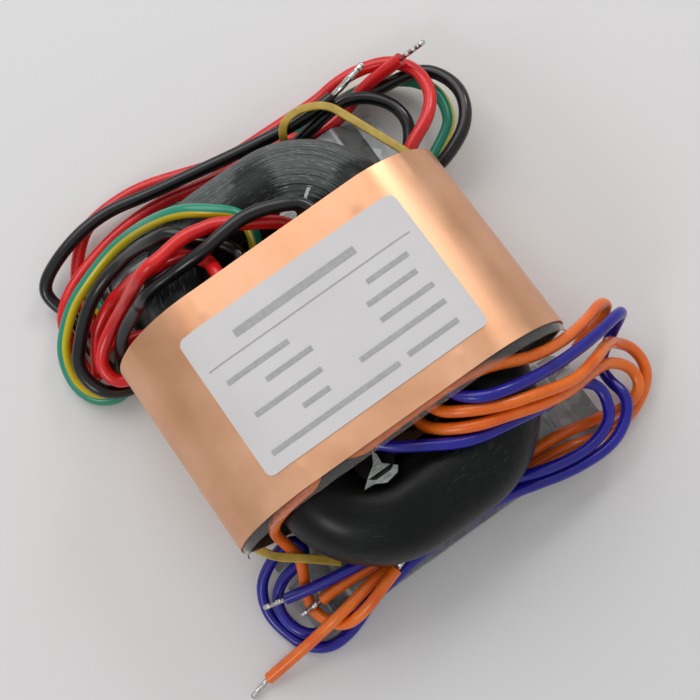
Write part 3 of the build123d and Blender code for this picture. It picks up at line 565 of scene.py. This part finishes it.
# Wound silicon-steel strip under dark varnish: the strip's edges run round the ring as fine
# lines, and the varnish pools between them
def varnishedStrip():
    material, tree, shader = newMaterial("varnished_silicon_steel", {
        "Roughness": 0.4, "IOR": 1.5, "Specular IOR Level": 0.2,
        "Coat Weight": 0.04, "Coat Roughness": 0.12,
    })
    cornerX, cornerY = 0.0051, 0.01825
    place = objectPlace(tree)
    parts = addNode(tree, "ShaderNodeSeparateXYZ", {"Vector": place.outputs[0]})
    legs = []
    for axis, corner in (("X", cornerX), ("Y", cornerY)):
        far = addNode(tree, "ShaderNodeMath", {0: parts.outputs[axis]}, operation="ABSOLUTE")
        past = addNode(tree, "ShaderNodeMath", {0: far.outputs[0], 1: corner}, operation="SUBTRACT")
        kept = addNode(tree, "ShaderNodeMath", {0: past.outputs[0], 1: 0.0}, operation="MAXIMUM")
        legs.append(addNode(tree, "ShaderNodeMath", {
            0: kept.outputs[0], 1: 2.0,
        }, operation="POWER"))
    both = addNode(tree, "ShaderNodeMath", {0: legs[0].outputs[0], 1: legs[1].outputs[0]})
    ring = addNode(tree, "ShaderNodeMath", {0: both.outputs[0]}, operation="SQRT")
    # strip edges every 0.3 mm or so, drawn a little coarser than real so that they show
    wobble = addNode(tree, "ShaderNodeTexNoise", {
        "Vector": place.outputs[0], "Scale": 90.0, "Detail": 3.0,
    })
    shift = addNode(tree, "ShaderNodeMath", {
        0: wobble.outputs["Fac"], 1: 0.0007,
    }, operation="MULTIPLY")
    # the strip's edges also step down the round section's sides, so height counts too
    drop = addNode(tree, "ShaderNodeMath", {0: parts.outputs["Z"], 1: -0.6}, operation="MULTIPLY")
    stepped = addNode(tree, "ShaderNodeMath", {0: ring.outputs[0], 1: drop.outputs[0]})
    warped = addNode(tree, "ShaderNodeMath", {0: stepped.outputs[0], 1: shift.outputs[0]})
    lines = addNode(tree, "ShaderNodeTexNoise", {
        "W": warped.outputs[0], "Scale": 2600.0, "Detail": 4.0,
    }, noise_dimensions="1D")
    patches = addNode(tree, "ShaderNodeTexNoise", {
        "Vector": place.outputs[0], "Scale": 46.0, "Detail": 2.0,
    })
    clear = rangeOf(tree, patches.outputs["Fac"], 0.05, 1.0, 0.48, 0.6)
    # painted sheen: the lines and glints are kept faint on the near yoke and show fully on the far
    # yoke and the right shoulder, where light catches the core
    far_yoke_sheen = rangeOf(tree, parts.outputs["Y"], 0.12, 1.0, -0.015, 0.02)
    right_shoulder_sheen = rangeOf(tree, parts.outputs["X"], 0.0, 1.0, 0.012, 0.022)
    painted_sheen_sides = addNode(tree, "ShaderNodeMath", {
        0: far_yoke_sheen.outputs[0], 1: right_shoulder_sheen.outputs[0],
    }, operation="MAXIMUM")
    # random bare patches, times the painted sheen on the far yoke and the right shoulder
    bare_and_sheen = addNode(tree, "ShaderNodeMath", {
        0: clear.outputs[0], 1: painted_sheen_sides.outputs[0],
    }, operation="MULTIPLY")
    # painted glints: short painted highlights on a strip's edge, drawn out along the winding
    alongX = addNode(tree, "ShaderNodeMath", {
        0: parts.outputs["X"], 1: 520.0,
    }, operation="MULTIPLY")
    alongY = addNode(tree, "ShaderNodeMath", {
        0: parts.outputs["Y"], 1: 520.0,
    }, operation="MULTIPLY")
    across = addNode(tree, "ShaderNodeMath", {
        0: warped.outputs[0], 1: 7000.0,
    }, operation="MULTIPLY")
    drawn = addNode(tree, "ShaderNodeCombineXYZ", {
        "X": across.outputs[0], "Y": alongX.outputs[0], "Z": alongY.outputs[0],
    })
    bits = addNode(tree, "ShaderNodeTexNoise", {
        "Vector": drawn.outputs[0], "Scale": 1.0, "Detail": 2.0,
    })
    painted_glint_shape = rangeOf(tree, bits.outputs["Fac"], 0.0, 0.7, 0.6, 0.7)
    painted_glints = addNode(tree, "ShaderNodeMath", {
        0: painted_glint_shape.outputs[0], 1: bare_and_sheen.outputs[0],
    }, operation="MULTIPLY")
    edge_lines_and_sheen = addNode(tree, "ShaderNodeMath", {
        0: lines.outputs["Fac"], 1: bare_and_sheen.outputs[0],
    }, operation="MULTIPLY")
    colour = rampOf(tree, edge_lines_and_sheen.outputs[0], [(0.0, "#0B0D0D"), (0.3, "#171A1A"), (0.58, "#5A605F")])
    # painted highlight: the glints mix a pale grey into the core's colour
    lit = addNode(tree, "ShaderNodeMix", {
        "Factor": painted_glints.outputs[0], "A": colour.outputs[0], "B": hexColour("#A8ADAC"),
    }, data_type="RGBA")
    tree.links.new(lit.outputs["Result"], shader.inputs["Base Color"])
    rough = rangeOf(tree, patches.outputs["Fac"], 0.3, 0.46, 0.35, 0.65)
    tree.links.new(rough.outputs[0], shader.inputs["Roughness"])
    relief = addNode(tree, "ShaderNodeMath", {0: edge_lines_and_sheen.outputs[0], 1: painted_glints.outputs[0]})
    raised = addNode(tree, "ShaderNodeBump", {
        "Height": relief.outputs[0], "Strength": 0.35, "Distance": 0.0002,
    })
    tree.links.new(raised.outputs[0], shader.inputs["Normal"])
    return material


# Bare copper foil, rolled bright: long soft streaks, handling smudges and fine scratches
def copperFoil():
    material, tree, shader = newMaterial("rolled_copper", {"Metallic": 1.0, "Roughness": 0.3})
    coords = addNode(tree, "ShaderNodeTexCoord")
    along = addNode(tree, "ShaderNodeMapping", {
        "Vector": coords.outputs["UV"], "Scale": (900, 8, 1),
    })
    streaks = addNode(tree, "ShaderNodeTexNoise", {
        "Vector": along.outputs[0], "Scale": 1.0, "Detail": 3.0,
    })
    place = objectPlace(tree)
    smudges = addNode(tree, "ShaderNodeTexNoise", {
        "Vector": place.outputs[0], "Scale": 70.0, "Detail": 4.0,
    })
    colour = rampOf(tree, smudges.outputs["Fac"], [(0.3, "#DFA37C"), (0.7, "#EDBB98")])
    tree.links.new(colour.outputs[0], shader.inputs["Base Color"])
    rough = rangeOf(tree, smudges.outputs["Fac"], 0.34, 0.48, 0.3, 0.7)
    tree.links.new(rough.outputs[0], shader.inputs["Roughness"])
    raised = addNode(tree, "ShaderNodeBump", {
        "Height": streaks.outputs["Fac"], "Strength": 0.12, "Distance": 0.0001,
    })
    tree.links.new(raised.outputs[0], shader.inputs["Normal"])
    return material


# Coated label stock: near white, faintly grey, with a soft sheen
def labelStock():
    material, tree, shader = newMaterial("coated_label_stock", {"Roughness": 0.5, "IOR": 1.48})
    place = objectPlace(tree)
    fibre = addNode(tree, "ShaderNodeTexNoise", {
        "Vector": place.outputs[0], "Scale": 1800.0, "Detail": 3.0,
    })
    haze = addNode(tree, "ShaderNodeTexNoise", {
        "Vector": place.outputs[0], "Scale": 60.0, "Detail": 2.0,
    })
    colour = rampOf(tree, haze.outputs["Fac"], [(0.3, "#CCCACA"), (0.7, "#D3D1D1")])
    tree.links.new(colour.outputs[0], shader.inputs["Base Color"])
    raised = addNode(tree, "ShaderNodeBump", {
        "Height": fibre.outputs["Fac"], "Strength": 0.1, "Distance": 0.00005,
    })
    tree.links.new(raised.outputs[0], shader.inputs["Normal"])
    return material


# Thermal print, a dull grey that is a little patchy
def printInk():
    material, tree, shader = newMaterial("thermal_print", {"Roughness": 0.55})
    place = objectPlace(tree)
    patchy = addNode(tree, "ShaderNodeTexNoise", {
        "Vector": place.outputs[0], "Scale": 1500.0, "Detail": 2.0,
    })
    colour = rampOf(tree, patchy.outputs["Fac"], [(0.3, "#9E9EA0"), (0.7, "#ACACAE")])
    tree.links.new(colour.outputs[0], shader.inputs["Base Color"])
    return material


# Zinc-coated steel: blue-grey crystal patches with fine scratches
def galvanisedSteel():
    material, tree, shader = newMaterial("galvanised_steel", {"Metallic": 1.0, "Roughness": 0.5})
    place = objectPlace(tree)
    crystals = addNode(tree, "ShaderNodeTexVoronoi", {"Vector": place.outputs[0], "Scale": 420.0})
    tone = addNode(tree, "ShaderNodeSeparateColor", {"Color": crystals.outputs["Color"]})
    zinc = rampOf(tree, tone.outputs[0], [(0.0, "#8A8C8C"), (1.0, "#A6A8A8")])
    parts = addNode(tree, "ShaderNodeSeparateXYZ", {"Vector": place.outputs[0]})
    # the tongues above the winding were dipped in varnish with the core
    dipped = rangeOf(tree, parts.outputs["Z"], 0.0, 1.0, 0.0205, 0.0225)
    clean = rangeOf(tree, dipped.outputs[0], 1.0, 0.0)
    colour = addNode(tree, "ShaderNodeMix", {
        "Factor": dipped.outputs[0], "A": zinc.outputs[0], "B": hexColour("#141717"),
    }, data_type="RGBA")
    tree.links.new(colour.outputs["Result"], shader.inputs["Base Color"])
    tree.links.new(clean.outputs[0], shader.inputs["Metallic"])
    rough = rangeOf(tree, tone.outputs[1], 0.42, 0.56)
    tree.links.new(rough.outputs[0], shader.inputs["Roughness"])
    scratch = addNode(tree, "ShaderNodeTexNoise", {
        "Vector": objectPlace(tree, (300, 4000, 2000)).outputs[0], "Scale": 1.0, "Detail": 2.0,
    })
    raised = addNode(tree, "ShaderNodeBump", {
        "Height": scratch.outputs["Fac"], "Strength": 0.15, "Distance": 0.00005,
    })
    tree.links.new(raised.outputs[0], shader.inputs["Normal"])
    return material


# Zinc where the varnish ran off the tongue's end: pale grey-green, scraped into fine furrows
def scrapedZinc():
    material, tree, shader = newMaterial("scraped_zinc", {"Metallic": 0.35, "Roughness": 0.5})
    place = objectPlace(tree)
    furrows = addNode(tree, "ShaderNodeTexNoise", {
        "Vector": objectPlace(tree, (900, 2600, 900)).outputs[0], "Scale": 1.0, "Detail": 3.0,
    })
    colour = rampOf(tree, furrows.outputs["Fac"], [(0.3, "#7C837E"), (0.7, "#B6BCB6")])
    tree.links.new(colour.outputs[0], shader.inputs["Base Color"])
    raised = addNode(tree, "ShaderNodeBump", {
        "Height": furrows.outputs["Fac"], "Strength": 0.5, "Distance": 0.0002,
    })
    tree.links.new(raised.outputs[0], shader.inputs["Normal"])
    return material


# PVC sleeve over stranded wire: smooth, softly glossy, with faint dust and draw marks
def pvcSleeve(name, dark, light, rough):
    material, tree, shader = newMaterial(name, {"Roughness": rough, "IOR": 1.53})
    place = objectPlace(tree)
    dust = addNode(tree, "ShaderNodeTexNoise", {
        "Vector": place.outputs[0], "Scale": 160.0, "Detail": 4.0,
    })
    colour = rampOf(tree, dust.outputs["Fac"], [(0.3, dark), (0.7, light)])
    tree.links.new(colour.outputs[0], shader.inputs["Base Color"])
    gloss = rangeOf(tree, dust.outputs["Fac"], rough - 0.06, rough + 0.1, 0.3, 0.7)
    tree.links.new(gloss.outputs[0], shader.inputs["Roughness"])
    fine = addNode(tree, "ShaderNodeTexNoise", {
        "Vector": place.outputs[0], "Scale": 900.0, "Detail": 2.0,
    })
    raised = addNode(tree, "ShaderNodeBump", {
        "Height": fine.outputs["Fac"], "Strength": 0.12, "Distance": 0.0001,
    })
    tree.links.new(raised.outputs[0], shader.inputs["Normal"])
    return material


# The earth lead's sleeve: green with a yellow stripe that takes under half of its way round
def stripedSleeve():
    material, tree, shader = newMaterial("green_yellow_pvc", {"Roughness": 0.26, "IOR": 1.53})
    coords = addNode(tree, "ShaderNodeTexCoord")
    parts = addNode(tree, "ShaderNodeSeparateXYZ", {"Vector": coords.outputs["UV"]})
    turned = addNode(tree, "ShaderNodeMath", {0: parts.outputs["X"], 1: 0.25}, operation="MULTIPLY")
    around = addNode(tree, "ShaderNodeMath", {0: parts.outputs["Y"], 1: turned.outputs[0]})
    shifted = addNode(tree, "ShaderNodeMath", {0: around.outputs[0], 1: 0.78})
    way = addNode(tree, "ShaderNodeMath", {0: shifted.outputs[0]}, operation="FRACT")
    colour = rampOf(tree, way.outputs[0], [(0.0, "#1F8A6E"), (1.0, "#1F8A6E")])
    for position, code in (
        (0.56, "#1F8A6E"), (0.58, "#D8C020"), (0.97, "#D8C020"), (0.99, "#1F8A6E"),
    ):
        colour.color_ramp.elements.new(position).color = hexColour(code)
    tree.links.new(colour.outputs[0], shader.inputs["Base Color"])
    return material


# Tinned copper strands: bright, a little frosted by the tin
def tinnedStrands():
    material, tree, shader = newMaterial(
        "tinned_copper_strands", {"Metallic": 1.0, "Roughness": 0.25},
    )
    place = objectPlace(tree)
    frost = addNode(tree, "ShaderNodeTexNoise", {
        "Vector": place.outputs[0], "Scale": 2200.0, "Detail": 3.0,
    })
    colour = rampOf(tree, frost.outputs["Fac"], [(0.3, "#B9B8B4"), (0.7, "#E4E3DF")])
    tree.links.new(colour.outputs[0], shader.inputs["Base Color"])
    rough = rangeOf(tree, frost.outputs["Fac"], 0.18, 0.4, 0.3, 0.7)
    tree.links.new(rough.outputs[0], shader.inputs["Roughness"])
    return material


# Natural latex: amber, slightly clear, dulled by talc
def latexRubber():
    material, tree, shader = newMaterial("natural_latex", {
        "Roughness": 0.45, "IOR": 1.52, "Subsurface Weight": 0.3,
        "Subsurface Radius": (0.001, 0.0006, 0.0002),
        "Subsurface Scale": 1.0,
    })
    place = objectPlace(tree)
    talc = addNode(tree, "ShaderNodeTexNoise", {
        "Vector": place.outputs[0], "Scale": 500.0, "Detail": 3.0,
    })
    colour = rampOf(tree, talc.outputs["Fac"], [(0.3, "#A88A22"), (0.7, "#C4A840")])
    tree.links.new(colour.outputs[0], shader.inputs["Base Color"])
    return material


# Clear polyester film: thin, faintly grey, with a soft gloss
def polyesterFilm():
    material, tree, shader = newMaterial("polyester_film", {
        "Roughness": 0.1, "IOR": 1.18, "Transmission Weight": 0.96,
        "Base Color": hexColour("#EEF0EC"),
    })
    place = objectPlace(tree)
    ripple = addNode(tree, "ShaderNodeTexNoise", {
        "Vector": place.outputs[0], "Scale": 220.0, "Detail": 2.0,
    })
    raised = addNode(tree, "ShaderNodeBump", {
        "Height": ripple.outputs["Fac"], "Strength": 0.15, "Distance": 0.0003,
    })
    tree.links.new(raised.outputs[0], shader.inputs["Normal"])
    return material


# Glass-filled nylon bobbins: black, moulded, with a fine matt skin
def mouldedNylon():
    material, tree, shader = newMaterial("moulded_nylon", {"Roughness": 0.5, "IOR": 1.53})
    place = objectPlace(tree)
    skin = addNode(tree, "ShaderNodeTexNoise", {
        "Vector": place.outputs[0], "Scale": 1400.0, "Detail": 3.0,
    })
    colour = rampOf(tree, skin.outputs["Fac"], [(0.3, "#121212"), (0.7, "#232323")])
    tree.links.new(colour.outputs[0], shader.inputs["Base Color"])
    raised = addNode(tree, "ShaderNodeBump", {
        "Height": skin.outputs["Fac"], "Strength": 0.2, "Distance": 0.0001,
    })
    tree.links.new(raised.outputs[0], shader.inputs["Normal"])
    return material


# Enamelled copper wire, wound in even turns of about 0.5 mm, with painted shade in the grooves
# between turns and a painted highlight on each crown
def enamelledTurns():
    material, tree, shader = newMaterial(
        "enamelled_copper_turns", {"Metallic": 0.8, "Roughness": 0.35},
    )
    place = objectPlace(tree, (1, 1000 * math.pi / 0.5, 1))
    parts = addNode(tree, "ShaderNodeSeparateXYZ", {"Vector": place.outputs[0]})
    turns = addNode(tree, "ShaderNodeMath", {0: parts.outputs["Y"]}, operation="SINE")
    height = addNode(tree, "ShaderNodeMath", {0: turns.outputs[0]}, operation="ABSOLUTE")
    # painted shade and highlight: dark in the grooves, light on the crowns
    colour = rampOf(tree, height.outputs[0], [(0.0, "#3A1608"), (1.0, "#A8552A")])
    tree.links.new(colour.outputs[0], shader.inputs["Base Color"])
    raised = addNode(tree, "ShaderNodeBump", {
        "Height": height.outputs[0], "Strength": 0.6, "Distance": 0.0002,
    })
    tree.links.new(raised.outputs[0], shader.inputs["Normal"])
    return material


# Plain sheet goods: polyester tape round the coils, and grey-brown fibre board
def sheetGoods(name, dark, light, rough, scale):
    material, tree, shader = newMaterial(name, {"Roughness": rough})
    place = objectPlace(tree)
    mottle = addNode(tree, "ShaderNodeTexNoise", {
        "Vector": place.outputs[0], "Scale": scale, "Detail": 4.0,
    })
    colour = rampOf(tree, mottle.outputs["Fac"], [(0.3, dark), (0.7, light)])
    tree.links.new(colour.outputs[0], shader.inputs["Base Color"])
    raised = addNode(tree, "ShaderNodeBump", {
        "Height": mottle.outputs["Fac"], "Strength": 0.2, "Distance": 0.0001,
    })
    tree.links.new(raised.outputs[0], shader.inputs["Normal"])
    return material


slotMaterials = {
    "varnished_core": varnishedStrip(),
    "bobbin_plastic": mouldedNylon(),
    "magnet_wire": enamelledTurns(),
    "yellow_tape": sheetGoods("polyester_tape", "#C9A21E", "#DDB82E", 0.35, 300.0),
    "clear_film": polyesterFilm(),
    "copper_foil": copperFoil(),
    "label_paper": labelStock(),
    "galvanised_steel": galvanisedSteel(),
    "fibre_board": sheetGoods("vulcanised_fibre", "#5A3A26", "#72503A", 0.75, 900.0),
    "latex": latexRubber(),
    "tinned_wire": tinnedStrands(),
    "black_sleeve": pvcSleeve("black_pvc", "#08080A", "#131315", 0.22),
    "red_sleeve": pvcSleeve("red_pvc", "#C8101A", "#E0201E", 0.22),
    "orange_sleeve": pvcSleeve("orange_pvc", "#E05A08", "#F47A1E", 0.24),
    "blue_sleeve": pvcSleeve("blue_pvc", "#14127E", "#211E9E", 0.22),
    "green_yellow_sleeve": stripedSleeve(),
}
slotOf = {part["node"]: part["material_slot"] for part in frame["record"]["subparts"]}
for name, node in nodes.items():
    node.material_slots[0].material = slotMaterials[slotOf[name]]
for key, lead in leads.items():
    slot = "green_yellow_sleeve" if key == "green_yellow" else key.split("_")[0] + "_sleeve"
    lead.data.materials.append(slotMaterials[slot])
for tip in tips.values():
    tip.data.materials.append(slotMaterials["tinned_wire"])
for rubber in rubbers.values():
    rubber.data.materials.append(slotMaterials["latex"])
foil.data.materials.append(slotMaterials["copper_foil"])
paper.data.materials.append(slotMaterials["label_paper"])
zinc = scrapedZinc()
for piece in scraps:
    piece.data.materials.append(zinc)
ink = printInk()
for piece in inks:
    piece.data.materials.append(ink)
print("materials given to", len(nodes), "parts")

# Floor, room and lights
roomSetup = {
    "floor": "#DCDBDB",
    "backdrop": "#DCDBDB",
    "floorHalf": 0.2,
    "fill": 0.48,
    "lights": [
        ((0.05, 0.42, 0.48), (0.0, 0.02, 0.0), (0.55, 0.50), 1.8),
        ((-0.45, -0.20, 0.40), (0.0, 0.0, 0.01), (0.16, 0.16), 0.6),
        ((0.40, 0.20, 0.35), (0.0, 0.0, 0.01), (0.14, 0.14), 0.5),
    ],
}
bm = bmesh.new()
bmesh.ops.create_grid(bm, x_segments=1, y_segments=1, size=roomSetup["floorHalf"])
floor = meshPiece("floor", bm, smooth=False)
paintedFloor, tree, shader = newMaterial("matt_card", {
    "Base Color": hexColour(roomSetup["floor"]), "Roughness": 0.8, "Specular IOR Level": 0.2,
})
floor.data.materials.append(paintedFloor)
world = bpy.data.worlds.new("room")
scene.world = world
world.use_nodes = True
tree = world.node_tree
tree.nodes.clear()
path = addNode(tree, "ShaderNodeLightPath")
seen = addNode(tree, "ShaderNodeMath", {
    0: path.outputs["Is Camera Ray"], 1: path.outputs["Is Transmission Ray"],
}, operation="MAXIMUM")
fill = addNode(tree, "ShaderNodeBackground", {
    "Color": hexColour("#FFFFFF"), "Strength": roomSetup["fill"],
})
plain = addNode(tree, "ShaderNodeBackground", {
    "Color": hexColour(roomSetup["backdrop"]), "Strength": 1.0,
})
mixed = addNode(tree, "ShaderNodeMixShader", {
    0: seen.outputs[0], 1: fill.outputs[0], 2: plain.outputs[0],
})
addNode(tree, "ShaderNodeOutputWorld", {"Surface": mixed.outputs[0]})
for count, (place, target, size, power) in enumerate(roomSetup["lights"]):
    light = bpy.data.lights.new(f"softbox_{count + 1}", "AREA")
    light.shape = "RECTANGLE"
    light.size, light.size_y = size
    light.energy = power
    lamp = bpy.data.objects.new(light.name, light)
    scene.collection.objects.link(lamp)
    aim = (Vector(target) - Vector(place)).to_track_quat("-Z", "Y")
    lamp.matrix_world = Matrix.Translation(place) @ aim.to_matrix().to_4x4()
scene.view_settings.view_transform = "Standard"
print("room lit")
